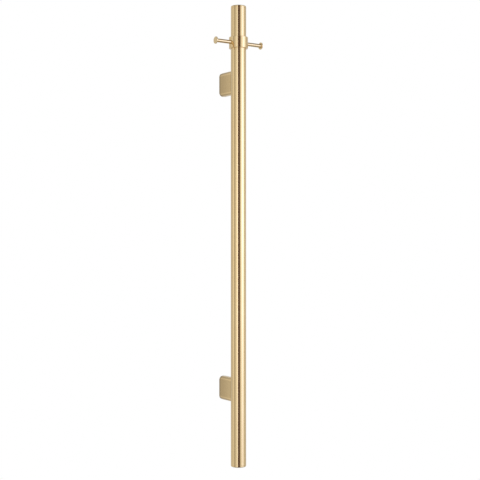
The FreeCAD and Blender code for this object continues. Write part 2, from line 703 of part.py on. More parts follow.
def tag_barrel_z():
    return EARTH_SCREW_Z - POST_SCREW_HEAD_R - TAG_BARREL_GAP - TAG_BARREL_R


def earth_tag():
    """Ring under a post screw, with a crimp barrel turned to the wall."""
    barrel_z = tag_barrel_z()
    ring = cylinder(TAG_R, V(0, WEB_Y, EARTH_SCREW_Z), V(0, TAG_SEAT_Y, EARTH_SCREW_Z))
    tongue = block((-TAG_BARREL_R, TAG_BARREL_R), (WEB_Y, TAG_SEAT_Y), (barrel_z, EARTH_SCREW_Z))
    barrel = cylinder(TAG_BARREL_R, V(0, WEB_Y, barrel_z), V(0, TAG_BARREL_END_Y, barrel_z))
    hole_start = V(0, WEB_Y - OVERCUT, EARTH_SCREW_Z)
    hole = cylinder(POST_SCREW_R, hole_start, V(0, TAG_SEAT_Y + OVERCUT, EARTH_SCREW_Z))
    crimp = cylinder(LEAD_R, V(0, TAG_SEAT_Y, barrel_z), V(0, TAG_BARREL_END_Y + OVERCUT, barrel_z))
    return joined([ring, tongue, barrel]).cut([hole, crimp])


def earth_lead():
    barrel_z = tag_barrel_z()
    pole_z = LOWER_Z - POLE_SPACING
    rise_y = BLOCK_FRONT_Y - EARTH_RISE_GAP
    points = [
        V(0, TAG_SEAT_Y, barrel_z),
        V(0, rise_y, barrel_z),
        V(POLE_X, rise_y, pole_z),
        V(POLE_X, BLOCK_FRONT_Y + POLE_END_WALL, pole_z),
    ]
    return joined([wire_run(points, LEAD_BEND_R, LEAD_R), conductor(pole_z)])


# ---- hook collar ----

def collar_liner():
    """Split nylon sleeve that grips the tube and snaps into the collar's groove."""
    half = COLLAR_HEIGHT / 2 - COLLAR_LIP - LINER_END_FIT
    sleeve = tube_cylinder(LINER_R, HOOK_Z - half, HOOK_Z + half)
    bore = tube_cylinder(TUBE_R + RUN_FIT, HOOK_Z - half - OVERCUT, HOOK_Z + half + OVERCUT)
    slit = block(
        (-LINER_SLIT / 2, LINER_SLIT / 2),
        (TUBE_Y - COLLAR_R, TUBE_Y),
        (HOOK_Z - half - OVERCUT, HOOK_Z + half + OVERCUT),
    )
    return sleeve.cut([bore, slit])


def hook_collar():
    half = COLLAR_HEIGHT / 2
    lip_r = TUBE_R + COLLAR_LIP_GAP
    groove = half - COLLAR_LIP
    outline = [
        (lip_r, -half),
        (COLLAR_R - COLLAR_CHAMFER, -half),
        (COLLAR_R, -half + COLLAR_CHAMFER),
        (COLLAR_R, half - COLLAR_CHAMFER),
        (COLLAR_R - COLLAR_CHAMFER, half),
        (lip_r, half),
        (lip_r, groove),
        (COLLAR_BORE_R, groove),
        (COLLAR_BORE_R, -groove),
        (lip_r, -groove),
    ]
    ring = turned(outline, V(0, TUBE_Y, HOOK_Z), Z_AXIS)
    studs = cylinder(PEG_STUD_R, V(-COLLAR_R, TUBE_Y, HOOK_Z), V(COLLAR_R, TUBE_Y, HOOK_Z))
    grub = cylinder(GRUB_R, V(0, TUBE_Y, HOOK_Z), V(0, TUBE_Y + COLLAR_R + OVERCUT, HOOK_Z))
    return ring.cut([studs, grub])


def collar_grub_screw():
    """Grub screw at the back that clamps the liner on the tube."""
    outer = V(0, TUBE_Y + COLLAR_R - GRUB_RECESS, HOOK_Z)
    inner = V(0, TUBE_Y + COLLAR_BORE_R, HOOK_Z)
    return cylinder(GRUB_R, inner, outer).cut(hex_socket(GRUB_HEX, GRUB_HEX_DEPTH, outer, -Y_AXIS))


def peg():
    """Peg on the +X side: threaded stud, straight rod, fillet and flat disc."""
    face_x = PEG_SPAN / 2
    edge_x = face_x - PEG_EDGE
    fillet_x = edge_x - PEG_FILLET_R
    middle = V(
        fillet_x + PEG_FILLET_R * math.sin(math.pi / 4),
        0,
        PEG_ROD_R + PEG_FILLET_R * (1 - math.cos(math.pi / 4)),
    )
    corners = [
        V(edge_x, 0, PEG_ROD_R + PEG_FILLET_R),
        V(edge_x, 0, PEG_DISC_R),
        V(face_x - PEG_EDGE_CHAMFER, 0, PEG_DISC_R),
        V(face_x, 0, PEG_DISC_R - PEG_EDGE_CHAMFER),
        V(face_x, 0, 0),
        V(0, 0, 0),
        V(0, 0, PEG_ROD_R),
        V(fillet_x, 0, PEG_ROD_R),
    ]
    edges = [Part.makeLine(start, end) for start, end in zip(corners, corners[1:])]
    edges.append(Part.Arc(corners[-1], middle, corners[0]).toShape())
    body = Part.Face(Part.Wire(edges)).revolve(V(0, 0, 0), X_AXIS, 360)
    body.translate(V(0, TUBE_Y, HOOK_Z))
    body = body.cut(tube_cylinder(COLLAR_R, HOOK_Z - COLLAR_HEIGHT, HOOK_Z + COLLAR_HEIGHT))
    stud_start = V(COLLAR_BORE_R + PEG_STUD_SHORT, TUBE_Y, HOOK_Z)
    stud = cylinder(PEG_STUD_R, stud_start, V(COLLAR_R + OVERCUT, TUBE_Y, HOOK_Z))
    return joined([body, stud])


def all_nodes():
    right_peg = peg()
    return {
        "heated_tube": heated_tube(),
        "top_end_cap": end_cap(RAIL_TOP - CAP_LIP, 1),
        "bottom_end_cap": end_cap(RAIL_BOTTOM + CAP_LIP, -1),
        "end_cap_seals": end_cap_seals(),
        "upper_post": post(UPPER_Z, False),
        "lower_post": post(LOWER_Z, True),
        "upper_wall_plate": wall_plate(UPPER_Z, False),
        "lower_wall_plate": wall_plate(LOWER_Z, True),
        "upper_nut_plate": nut_plate(UPPER_Z, False),
        "lower_nut_plate": nut_plate(LOWER_Z, True),
        "post_screws": post_screws(),
        "post_grub_screws": post_grub_screws(),
        "wire_grommet": wire_grommet(),
        "cable_grommet": cable_grommet(),
        "heating_element": heating_element(),
        "element_spacers": element_spacers(),
        "splice_sleeves": splice_sleeves(),
        "thermal_cutout": thermal_cutout(),
        "cutout_tie": cutout_tie(),
        "cutout_lead": cutout_lead(),
        "live_lead": live_lead(),
        "neutral_lead": neutral_lead(),
        "terminal_block": terminal_block(),
        "terminal_poles": terminal_poles(),
        "clamp_screws": clamp_screws(),
        "earth_tag": earth_tag(),
        "earth_lead": earth_lead(),
        "collar_liner": collar_liner(),
        "hook_collar": hook_collar(),
        "collar_grub_screw": collar_grub_screw(),
        "right_peg": right_peg,
        "left_peg": right_peg.mirror(V(0, 0, 0), X_AXIS),
    }


os.makedirs("parts", exist_ok=True)
for node, shape in all_nodes().items():
    shape.exportStep(f"parts/{node}.step")
    state = "valid" if shape.isValid() else "INVALID"
    print(node, len(shape.Solids), "solids", round(shape.Volume, 1), "mm3", state)
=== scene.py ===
import math

import bpy
import numpy as np
from bpy.props import FloatProperty, FloatVectorProperty, IntProperty, PointerProperty
from bpy.types import Operator, Panel, PropertyGroup
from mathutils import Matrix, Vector


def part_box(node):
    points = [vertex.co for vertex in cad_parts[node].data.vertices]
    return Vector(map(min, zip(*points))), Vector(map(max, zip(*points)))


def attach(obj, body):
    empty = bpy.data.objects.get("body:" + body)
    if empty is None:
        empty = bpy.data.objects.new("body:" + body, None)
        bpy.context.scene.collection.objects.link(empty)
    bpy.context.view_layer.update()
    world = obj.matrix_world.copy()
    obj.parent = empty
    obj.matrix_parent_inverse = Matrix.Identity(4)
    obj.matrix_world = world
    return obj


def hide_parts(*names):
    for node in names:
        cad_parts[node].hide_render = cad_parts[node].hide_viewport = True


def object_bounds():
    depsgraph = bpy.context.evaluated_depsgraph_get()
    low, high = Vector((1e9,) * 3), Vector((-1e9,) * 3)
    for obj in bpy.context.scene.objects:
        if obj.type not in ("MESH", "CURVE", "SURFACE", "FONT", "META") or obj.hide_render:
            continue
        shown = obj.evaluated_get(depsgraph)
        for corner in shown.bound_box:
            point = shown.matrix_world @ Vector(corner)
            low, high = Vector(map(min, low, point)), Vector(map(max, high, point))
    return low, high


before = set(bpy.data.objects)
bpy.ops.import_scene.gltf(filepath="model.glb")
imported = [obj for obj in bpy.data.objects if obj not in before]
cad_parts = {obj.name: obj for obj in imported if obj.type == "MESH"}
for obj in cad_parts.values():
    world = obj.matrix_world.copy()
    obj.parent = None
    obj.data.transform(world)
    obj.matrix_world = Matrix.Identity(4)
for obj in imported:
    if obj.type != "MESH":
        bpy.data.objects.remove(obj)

bl_info = {
    "name": "Heated Towel Rail Finishes",
    "version": (1, 0, 0),
    "blender": (4, 5, 0),
    "location": "3D View > Sidebar > Towel Rail",
    "description": "Surfaces, finishes and studio for a vertical brushed-brass heated towel rail",
    "category": "Object",
}

CAD_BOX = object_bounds()
MM = 0.001
TUBE_LOW, TUBE_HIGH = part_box("heated_tube")
TUBE_MIDDLE = (TUBE_LOW + TUBE_HIGH) / 2
TUBE_R = (TUBE_HIGH.x - TUBE_LOW.x) / 2

# Sizes that the tube shares with its caps, in metres.
TUBE_WALL = 1.5 * MM
SEAM_BEVEL = 0.35 * MM

# Widths of the polished bands along edges, in metres.
TUBE_WEAR = 3.0 * MM
CAP_WEAR = 2.5 * MM
POST_END_WEAR = 3.0 * MM
POST_WALL_WEAR = 1.5 * MM
PLATE_WEAR = 1.0 * MM
COLLAR_WEAR = 1.5 * MM
PEG_WEAR = 2.0 * MM

# A new surface has a hard edge where its faces meet at more than this.
SHARP_ANGLE = math.radians(20.0)

# Width of the camera's sensor, in millimetres, and the shift that frames the rail.
SENSOR_WIDTH = 36.0
CAMERA_SHIFT = (0.0031, -0.0078)


# ---- settings ----

class BrassFinish(PropertyGroup):
    """The brushed brass that every outside piece is made of."""

    colour: FloatVectorProperty(
        name="Brass",
        description="Colour of clean brushed brass",
        subtype="COLOR",
        size=3,
        min=0.0,
        max=1.0,
        default=(0.88, 0.67, 0.365),
    )
    deep_colour: FloatVectorProperty(
        name="Deep brass",
        description="Colour where the brushing is deeper and the metal a little tarnished",
        subtype="COLOR",
        size=3,
        min=0.0,
        max=1.0,
        default=(0.80, 0.575, 0.285),
    )
    worn_colour: FloatVectorProperty(
        name="Worn brass",
        description="Colour of edges that hands and towels have polished",
        subtype="COLOR",
        size=3,
        min=0.0,
        max=1.0,
        default=(0.93, 0.76, 0.49),
    )
    roughness: FloatProperty(
        name="Roughness",
        description="Roughness of the satin surface between brush marks",
        subtype="FACTOR",
        min=0.0,
        max=1.0,
        default=0.16,
    )
    brush_depth: FloatProperty(
        name="Brush depth",
        description="Height of the brush marks",
        subtype="DISTANCE",
        unit="LENGTH",
        default=0.004 * MM,
    )


class RailSizes(PropertyGroup):
    """How finely the new surfaces are divided."""

    segments: IntProperty(
        name="Segments",
        description="Steps round a turned surface",
        min=32,
        max=720,
        default=288,
    )


class RailStudio(PropertyGroup):
    """Camera, floor and light round the rail."""

    camera_azimuth: FloatProperty(
        name="Camera azimuth",
        description="Direction of the camera, from straight in front towards the rail's right",
        subtype="ANGLE",
        unit="ROTATION",
        default=math.radians(-34.54),
    )
    camera_distance: FloatProperty(
        name="Camera distance",
        description="From the tube's axis to the camera",
        subtype="DISTANCE",
        unit="LENGTH",
        default=2.5953,
    )
    lens: FloatProperty(
        name="Lens",
        description="Focal length on a sensor 36 mm wide, in millimetres",
        default=74.6,
    )
    floor_drop: FloatProperty(
        name="Floor drop",
        description="From the rail's lower end down to the floor",
        subtype="DISTANCE",
        unit="LENGTH",
        default=0.6,
    )
    floor_glow: FloatProperty(
        name="Floor glow",
        description="Light that the floor gives off, so that it is as pale as the background",
        min=0.0,
        default=0.5,
    )
    surround: FloatProperty(
        name="Surround",
        description="Brightness of the pale room between the soft boxes",
        min=0.0,
        default=0.61,
    )


# ---- shader arithmetic ----

class Value:
    """A shader output that takes part in Python sums, one Math node for each step."""

    def __init__(self, tree, output):
        self.tree = tree
        self.output = output

    def math(self, operation, *others):
        """A Math node on this value and others."""
        inputs = dict(enumerate((self, *others)))
        return self.tree.add("ShaderNodeMath", {"operation": operation}, inputs)

    def __add__(self, other):
        return self.math("ADD", other)

    def __sub__(self, other):
        return self.math("SUBTRACT", other)

    def __rsub__(self, other):
        return self * -1.0 + other

    def __mul__(self, other):
        return self.math("MULTIPLY", other)

    def __truediv__(self, other):
        return self.math("DIVIDE", other)

    def __abs__(self):
        return self.math("ABSOLUTE")

    __radd__ = __add__
    __rmul__ = __mul__

    def smoothed(self, start, end):
        """0 before start, 1 after end and a smooth S between; start may be the larger."""
        inputs = {"Value": self, "From Min": start, "From Max": end, "To Min": 0.0, "To Max": 1.0}
        return self.tree.add("ShaderNodeMapRange", {"interpolation_type": "SMOOTHSTEP"}, inputs)

    def parts(self):
        """The three parts of a vector."""
        split = self.tree.add("ShaderNodeSeparateXYZ", {}, {"Vector": self}).output.node
        return [Value(self.tree, output) for output in split.outputs]


class Tree:
    """A node tree that is filled through one method."""

    def __init__(self, owner):
        owner.use_nodes = True
        self.nodes = owner.node_tree.nodes
        self.links = owner.node_tree.links
        self.nodes.clear()

    def add(self, kind, settings, inputs, output=0):
        """Adds a node: its settings first, then a value or a link for each named input."""
        node = self.nodes.new(kind)
        for name, setting in settings.items():
            setattr(node, name, setting)
        for key, given in inputs.items():
            if isinstance(given, Value):
                self.links.new(given.output, node.inputs[key])
            else:
                node.inputs[key].default_value = given
        if node.outputs:
            return Value(self, node.outputs[output])
        return None

    def place(self):
        """Object coordinates, in metres from the rail's origin."""
        return self.add("ShaderNodeTexCoord", {}, {}, "Object")

    def noise(self, rate, detail=3.0, roughness=0.55, distortion=0.0):
        """Noise whose features per metre along X, Y and Z are given by rate."""
        placed = {"Vector": self.place(), "Scale": rate}
        spread = self.add("ShaderNodeMapping", {"vector_type": "POINT"}, placed)
        inputs = {
            "Vector": spread,
            "Scale": 1.0,
            "Detail": detail,
            "Roughness": roughness,
            "Distortion": distortion,
        }
        return self.add("ShaderNodeTexNoise", {}, inputs)

    def blend(self, amount, first, second):
        """Colour that goes from first to second as amount goes from 0 to 1."""
        inputs = {0: amount, 6: opaque(first), 7: opaque(second)}
        return self.add("ShaderNodeMix", {"data_type": "RGBA"}, inputs, 2)

    def bump(self, height, distance):
        """Normals of a surface raised by height, where a height of 1 is distance in metres."""
        inputs = {"Height": height, "Distance": distance, "Strength": 1.0}
        return self.add("ShaderNodeBump", {}, inputs)


def opaque(colour):
    """A colour with its alpha, or a Value as it is."""
    if isinstance(colour, Value):
        return colour
    return (*tuple(colour)[:3], 1.0)


def scaled(colour, factor):
    """A colour made darker or lighter, no part above 1."""
    return tuple(min(1.0, part * factor) for part in tuple(colour)[:3])


def new_material(name):
    """A material and its empty node tree."""
    material = bpy.data.materials.new(name)
    return material, Tree(material)


def finish_surface(tree, inputs):
    """Ends a material in one Principled shader."""
    shader = tree.add("ShaderNodeBsdfPrincipled", {}, inputs)
    tree.add("ShaderNodeOutputMaterial", {}, {"Surface": shader})


# ---- materials ----

# Posts get a painted shade: darker from a little in front of the tube's back to the wall, and
# in the joint with the tube. Shaded brass is darker by the first factor.
SHADED_BRASS_FACTOR = 0.55
WALL_SHADE_START = 10.0 * MM
WALL_SHADE_SHARE = 0.5
JOINT_SHADE_WIDTH = 4.0 * MM
JOINT_SHADE_SHARE = 1.0

# Marks of the brush in a metre, across them and along them, and the three ways that they run.
MARKS_ACROSS = 1500.0
MARKS_ALONG = 6.0
ROUND_THE_TUBE = (MARKS_ALONG, MARKS_ALONG, MARKS_ACROSS)
OUT_FROM_THE_WALL = (MARKS_ACROSS, MARKS_ALONG, MARKS_ACROSS)
ROUND_A_PEG = (MARKS_ACROSS, MARKS_ALONG, MARKS_ALONG)

# Strokes in a metre, as a share of the hair lines between them.
STROKE_SPREAD = 0.17

# Share of the deep colour that each pattern of the brass brings, and of the worn colour on edges.
CLOUD_TARNISH = 0.34
STROKE_TARNISH = 0.22
HAIR_TARNISH = 0.3
WEAR_SHARE = 0.6

# How much each pattern changes the brass's roughness; polished edges are smoother.
HAIR_ROUGHNESS = 0.05
STROKE_ROUGHNESS = 0.03
CLOUD_ROUGHNESS = 0.03
WEAR_POLISH = 0.04

# Share of the brush marks' height that is hair lines; strokes are the rest.
HAIR_HEIGHT = 0.75

# The wall plates are darker than the posts by this factor: a painted shade in the gap behind the
# posts.
PLATE_PAINTED_SHADE = 0.52

# Clouds of tarnish in a metre, and patches that break the worn edges up.
CLOUD_RATE = (13.0, 13.0, 6.0)
PATCH_RATE = (160.0, 160.0, 160.0)
PATCH_SHARE = 0.6

# Small metal parts: marks and spots in a metre, what each brings to the colour and how dark the
# spots are, then how uneven the marks leave the surface.
MARK_RATE = (700.0, 700.0, 700.0)
SPOT_RATE = (90.0, 90.0, 90.0)
MARK_TARNISH = 0.2
SPOT_TARNISH = 0.6
SPOT_SHADE = 0.62
MARK_ROUGHNESS = 0.2
MARK_DEPTH = 0.01 * MM

# Moulded parts: blotches in a metre, what they and the pores bring to the colour and roughness,
# and how dark the blotches are.
BLOTCH_RATE = (60.0, 60.0, 60.0)
BLOTCH_TARNISH = 0.5
PORE_TARNISH = 0.2
BLOTCH_SHADE = 0.7
BLOTCH_ROUGHNESS = 0.06
PORE_ROUGHNESS = 0.2


def edge_wear(tree, edges):
    """1 on the named edges and 0 away from them, broken up by noise.

    Each edge is (axis, place, width): a band across one axis that fades over its width.
    The nearest edge counts, so the bands are joined with a maximum.
    """
    coordinates = dict(zip("xyz", tree.place().parts()))
    total = None
    for axis, place, width in edges:
        band = abs(coordinates[axis] - place).smoothed(width, 0.0)
        total = band if total is None else total.math("MAXIMUM", band)
    patches = tree.noise(PATCH_RATE, detail=4.0).smoothed(0.35, 0.65)
    return total * (patches * PATCH_SHARE + (1.0 - PATCH_SHARE))


def post_painted_shade(tree):
    """Painted shade on a post: it grows towards the wall, and again in the joint with the tube."""
    x, y = tree.place().parts()[:2]
    wall_shade = y.smoothed(TUBE_HIGH.y - WALL_SHADE_START, CAD_BOX[1][1]) * WALL_SHADE_SHARE
    across = x - TUBE_MIDDLE.x
    along = y - TUBE_MIDDLE.y
    from_axis = (across * across + along * along).math("SQRT")
    joint_shade = from_axis.smoothed(TUBE_R + JOINT_SHADE_WIDTH, TUBE_R) * JOINT_SHADE_SHARE
    return wall_shade.math("MAXIMUM", joint_shade)


def brass(name, rate, edges, shade=1.0, painted_shade=None):
    """Brushed brass: hair lines along one direction, soft clouds of tarnish and polished edges.

    rate is how many hair lines cross a metre along X, Y and Z: small along the lines.
    painted_shade, where it is given, is a function of the tree that says how much painted shade
    darkens the brass.
    """
    finish = bpy.context.scene.rail_brass
    material, tree = new_material(name)
    hair_lines = tree.noise(rate, roughness=0.6)
    strokes = tree.noise(tuple(STROKE_SPREAD * part for part in rate), detail=2.0)
    clouds = tree.noise(CLOUD_RATE, distortion=0.3)
    wear = edge_wear(tree, edges)
    tarnish = (
        clouds.smoothed(0.25, 0.75) * CLOUD_TARNISH
        + strokes * STROKE_TARNISH
        + hair_lines.smoothed(0.35, 0.7) * HAIR_TARNISH
    )
    # shade darkens every colour; below 1 it is a painted shade.
    clean = tree.blend(tarnish, scaled(finish.colour, shade), scaled(finish.deep_colour, shade))
    # Painted shade: the brass darkens towards the wall and in the joint with the tube.
    if painted_shade:
        clean = tree.blend(painted_shade(tree), clean, scaled(finish.deep_colour, SHADED_BRASS_FACTOR))
    colour = tree.blend(wear * WEAR_SHARE, clean, scaled(finish.worn_colour, shade))
    uneven = (
        (hair_lines - 0.5) * HAIR_ROUGHNESS
        + (strokes - 0.5) * STROKE_ROUGHNESS
        + (clouds - 0.5) * CLOUD_ROUGHNESS
    )
    height = hair_lines * HAIR_HEIGHT + strokes * (1.0 - HAIR_HEIGHT)
    finish_surface(tree, {
        "Base Color": colour,
        "Metallic": 1.0,
        "Roughness": finish.roughness + uneven - wear * WEAR_POLISH,
        "Normal": tree.bump(height, finish.brush_depth),
    })
    return material


def plain_metal(name, colour, roughness):
    """Small metal parts: machined or plated, with faint marks and darker spots."""
    material, tree = new_material(name)
    marks = tree.noise(MARK_RATE)
    spots = tree.noise(SPOT_RATE, detail=4.0).smoothed(0.45, 0.8)
    tarnish = spots * SPOT_TARNISH + marks * MARK_TARNISH
    finish_surface(tree, {
        "Base Color": tree.blend(tarnish, colour, scaled(colour, SPOT_SHADE)),
        "Metallic": 1.0,
        "Roughness": roughness + (marks - 0.5) * MARK_ROUGHNESS,
        "Normal": tree.bump(marks, MARK_DEPTH),
    })
    return material


def moulded(name, colour, roughness, grain=900.0, depth=0.02 * MM):
    """Moulded or coated parts: soft blotches, and pores, of which grain lie in a metre."""
    material, tree = new_material(name)
    pores = tree.noise((grain, grain, grain))
    blotches = tree.noise(BLOTCH_RATE, detail=4.0).smoothed(0.3, 0.7)
    tarnish = blotches * BLOTCH_TARNISH + pores * PORE_TARNISH
    uneven = (pores - 0.5) * PORE_ROUGHNESS + blotches * BLOTCH_ROUGHNESS
    finish_surface(tree, {
        "Base Color": tree.blend(tarnish, colour, scaled(colour, BLOTCH_SHADE)),
        "Roughness": roughness + uneven,
        "Normal": tree.bump(pores, depth),
    })
    return material


# ---- surfaces ----

def new_piece(name, points, quads, body, node):
    """A mesh object at the origin that stands for one CAD node."""
    mesh = bpy.data.meshes.new(name)
    mesh.from_pydata(points, [], quads)
    mesh.update()
    mesh.shade_smooth()
    mesh.set_sharp_from_angle(angle=SHARP_ANGLE)
    piece = bpy.data.objects.new(name, mesh)
    bpy.context.scene.collection.objects.link(piece)
    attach(piece, body)
    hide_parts(node)
    return piece


def turned_ring(profile, centre, segments):
    """A closed section turned about a vertical line.

    profile holds (radius, height) points in order round the section, anticlockwise with the
    radius to the right. A point at turn t is at x = centre.x + radius cos t and
    y = centre.y + radius sin t, and keeps its height.
    """
    radius, height = np.asarray(profile, float).T
    turn = np.linspace(0.0, 2.0 * math.pi, segments, endpoint=False)
    x = centre.x + np.outer(np.cos(turn), radius)
    y = centre.y + np.outer(np.sin(turn), radius)
    z = np.broadcast_to(height, x.shape)
    points = np.stack([x, y, z], axis=-1).reshape(-1, 3)
    count = len(radius)
    step, along = np.meshgrid(np.arange(segments), np.arange(count), indexing="ij")
    next_step = (step + 1) % segments
    next_along = (along + 1) % count
    corners = [(step, along), (next_step, along), (next_step, next_along), (step, next_along)]
    quads = np.stack([a * count + b for a, b in corners], axis=-1).reshape(-1, 4)
    return points, quads


def tube_profile():
    """Tube wall with the seam bevels at both ends, as (radius, height) points."""
    low = TUBE_LOW.z
    high = TUBE_HIGH.z
    bore = TUBE_R - TUBE_WALL
    return [
        (bore, low),
        (TUBE_R - SEAM_BEVEL, low),
        (TUBE_R, low + SEAM_BEVEL),
        (TUBE_R, high - SEAM_BEVEL),
        (TUBE_R - SEAM_BEVEL, high),
        (bore, high),
    ]


def dress(material, *nodes):
    """Gives CAD nodes a finish."""
    for node in nodes:
        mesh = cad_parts[node].data
        mesh.materials.clear()
        mesh.materials.append(material)


def end_edges(node, axis, width):
    """The two ends of a node's box along an axis, as edges for edge_wear."""
    low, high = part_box(node)
    index = "xyz".index(axis)
    return [(axis, low[index], width), (axis, high[index], width)]


# ---- operators ----

class RAIL_OT_heated_tube(Operator):
    """Makes the heated tube as one smooth turned shell"""

    bl_idname = "rail.heated_tube"
    bl_label = "Heated tube"

    def execute(self, context):
        segments = context.scene.rail_sizes.segments
        points, quads = turned_ring(tube_profile(), TUBE_MIDDLE, segments)
        tube = new_piece(
            "heated_tube_shell", points, quads, "rail", "heated_tube"
        )
        edges = end_edges("heated_tube", "z", TUBE_WEAR)
        tube.data.materials.append(brass("brass_tube", ROUND_THE_TUBE, edges))
        return {"FINISHED"}


class RAIL_OT_end_caps(Operator):
    """Finishes the two end caps"""

    bl_idname = "rail.end_caps"
    bl_label = "End caps"

    def execute(self, context):
        edges = [("z", CAD_BOX[0][2], CAP_WEAR), ("z", CAD_BOX[1][2], CAP_WEAR)]
        dress(brass("brass_caps", ROUND_THE_TUBE, edges), "top_end_cap", "bottom_end_cap")
        return {"FINISHED"}


class RAIL_OT_brackets(Operator):
    """Finishes the posts and the plates behind them"""

    bl_idname = "rail.brackets"
    bl_label = "Brackets"

    def execute(self, context):
        post_edges = end_edges("lower_post", "y", POST_WALL_WEAR)
        post_edges += end_edges("lower_post", "z", POST_END_WEAR)
        post_edges += end_edges("upper_post", "z", POST_END_WEAR)
        # The posts get a painted shade towards the wall and in the joint with the tube.
        posts = brass("brass_posts", OUT_FROM_THE_WALL, post_edges, painted_shade=post_painted_shade)
        dress(posts, "lower_post", "upper_post")
        plate_edges = [("y", 0.0, PLATE_WEAR)]
        # The plates get a painted shade: all their colours are darkened by one factor.
        plates = brass("brass_plates", OUT_FROM_THE_WALL, plate_edges, shade=PLATE_PAINTED_SHADE)
        dress(plates, "lower_wall_plate", "upper_wall_plate")
        return {"FINISHED"}


class RAIL_OT_hook_collar(Operator):
    """Finishes the collar and its pegs"""

    bl_idname = "rail.hook_collar"
    bl_label = "Hook collar"

    def execute(self, context):
        collar_edges = end_edges("hook_collar", "z", COLLAR_WEAR)
        dress(brass("brass_collar", ROUND_THE_TUBE, collar_edges), "hook_collar")
        peg_edges = end_edges("right_peg", "x", PEG_WEAR) + end_edges("left_peg", "x", PEG_WEAR)
        dress(brass("brass_pegs", ROUND_A_PEG, peg_edges), "left_peg", "right_peg")
        return {"FINISHED"}


class RAIL_OT_fasteners(Operator):
    """Finishes screws, threaded plates, crimps and terminals"""

    bl_idname = "rail.fasteners"
    bl_label = "Fasteners"

    def execute(self, context):
        zinc = plain_metal("zinc_plate", (0.62, 0.64, 0.68), 0.38)
        dress(zinc, "upper_nut_plate", "lower_nut_plate", "post_screws", "clamp_screws")
        stainless = plain_metal("stainless_steel", (0.66, 0.65, 0.63), 0.3)
        dress(stainless, "post_grub_screws", "collar_grub_screw", "cutout_tie")
        tinned = plain_metal("tinned_copper", (0.74, 0.69, 0.62), 0.42)
        dress(tinned, "splice_sleeves", "earth_tag")
        dress(plain_metal("turned_brass", (0.74, 0.55, 0.27), 0.35), "terminal_poles")
        return {"FINISHED"}


class RAIL_OT_heating_parts(Operator):
    """Finishes the heating cable, its spacers, leads and terminal block"""

    bl_idname = "rail.heating_parts"
    bl_label = "Heating parts"

    def execute(self, context):
        dress(moulded("red_silicone", (0.42, 0.08, 0.05), 0.55), "heating_element")
        ceramic = moulded("ceramic", (0.76, 0.71, 0.62), 0.7, grain=1400.0)
        dress(ceramic, "element_spacers", "thermal_cutout")
        dress(moulded("brown_insulation", (0.2, 0.08, 0.035), 0.4), "live_lead", "cutout_lead")
        dress(moulded("blue_insulation", (0.05, 0.16, 0.42), 0.4), "neutral_lead")
        dress(moulded("green_insulation", (0.15, 0.38, 0.09), 0.4), "earth_lead")
        dress(moulded("grey_plastic", (0.5, 0.51, 0.51), 0.5), "terminal_block")
        return {"FINISHED"}


class RAIL_OT_seals_and_liner(Operator):
    """Finishes the rubber seals and grommets and the nylon liner"""

    bl_idname = "rail.seals_and_liner"
    bl_label = "Seals and liner"

    def execute(self, context):
        rubber = moulded("black_rubber", (0.028, 0.028, 0.03), 0.7, grain=1600.0, depth=0.03 * MM)
        dress(rubber, "end_cap_seals", "wire_grommet", "cable_grommet")
        dress(moulded("white_nylon", (0.8, 0.78, 0.72), 0.45), "collar_liner")
        return {"FINISHED"}


class RAIL_OT_stage(Operator):
    """Sets the camera, the pale floor and the soft studio light"""

    bl_idname = "rail.stage"
    bl_label = "Stage"

    def execute(self, context):
        add_camera(context)
        add_floor(context)
        add_studio_light(context)
        return {"FINISHED"}


# ---- stage ----

FLOOR_RADIUS = 2.4
# The floor turns into the white background between these distances from its middle.
FLOOR_FADE = (0.5 * FLOOR_RADIUS, 0.95 * FLOOR_RADIUS)

# Each soft box: middle of its direction, half its width and how softly its edge fades, in degrees
# to the right of the camera as seen from the rail; how far above the rail's middle it hangs, as
# the sine of that angle; then the light it adds, in red, green and blue.
SOFT_BOXES = (
    (-84.0, 9.5, 12.0, 0.0, (0.42, 0.44, 0.48)),
    (-26.0, 16.5, 20.0, 0.0, (0.38, 0.40, 0.42)),
    (-16.0, 8.5, 7.0, -0.02, (0.68, 0.76, 1.02)),
    (35.0, 8.0, 14.0, 0.0, (0.47, 0.49, 0.56)),
    (67.0, 26.5, 16.0, 0.05, (0.80, 0.90, 1.12)),
    (66.0, 10.0, 18.0, 0.05, (0.50, 0.60, 1.35)),
    (150.0, 22.0, 16.0, 0.0, (0.14, 0.16, 0.24)),
)
# How fast the boxes fade above and below their middles.
BOX_FADE = 18.0

# Each dark flag takes light away: middle, half width, softness and the share that it takes. What
# is left behind a flag is its own warm dark colour.
DARK_FLAGS = (
    (5.0, 12.9, 7.0, 1.0),
    (20.0, 9.0, 18.0, 0.5),
    (-60.0, 8.0, 10.0, 0.16),
)
FLAG_COLOUR = (0.06, 0.012, 0.0)

# The room is dimmer straight above and below, down to this share of its light.
ROOM_LEAST = 0.6

# The fill lights the posts' rounded edges from above and below: its direction, its light, and
# the sines between which it comes in and goes out again.
SIDE_FILL = (-140.0, 42.0, 30.0)
SIDE_FILL_LIGHT = 0.26
SIDE_FILL_IN = (0.12, 0.35)
SIDE_FILL_OUT = (0.66, 0.44)

# The ceiling to the right is darker, which edges the pegs: its direction, the share that it
# takes, and the sines between which it starts.
DARK_CEILING = (110.0, 45.0, 30.0)
CEILING_SHARE = 0.5
CEILING_IN = (0.4, 0.8)


def add_camera(context):
    """Level camera at half the tube's height."""
    studio = context.scene.rail_studio
    data = bpy.data.cameras.new("camera")
    data.sensor_width = SENSOR_WIDTH
    data.lens = studio.lens
    data.shift_x, data.shift_y = CAMERA_SHIFT
    camera = bpy.data.objects.new("camera", data)
    azimuth = studio.camera_azimuth
    away = Vector((math.sin(azimuth), -math.cos(azimuth), 0.0)) * studio.camera_distance
    camera.location = TUBE_MIDDLE + away
    camera.rotation_euler = (math.radians(90.0), 0.0, azimuth)
    context.scene.collection.objects.link(camera)
    context.scene.camera = camera


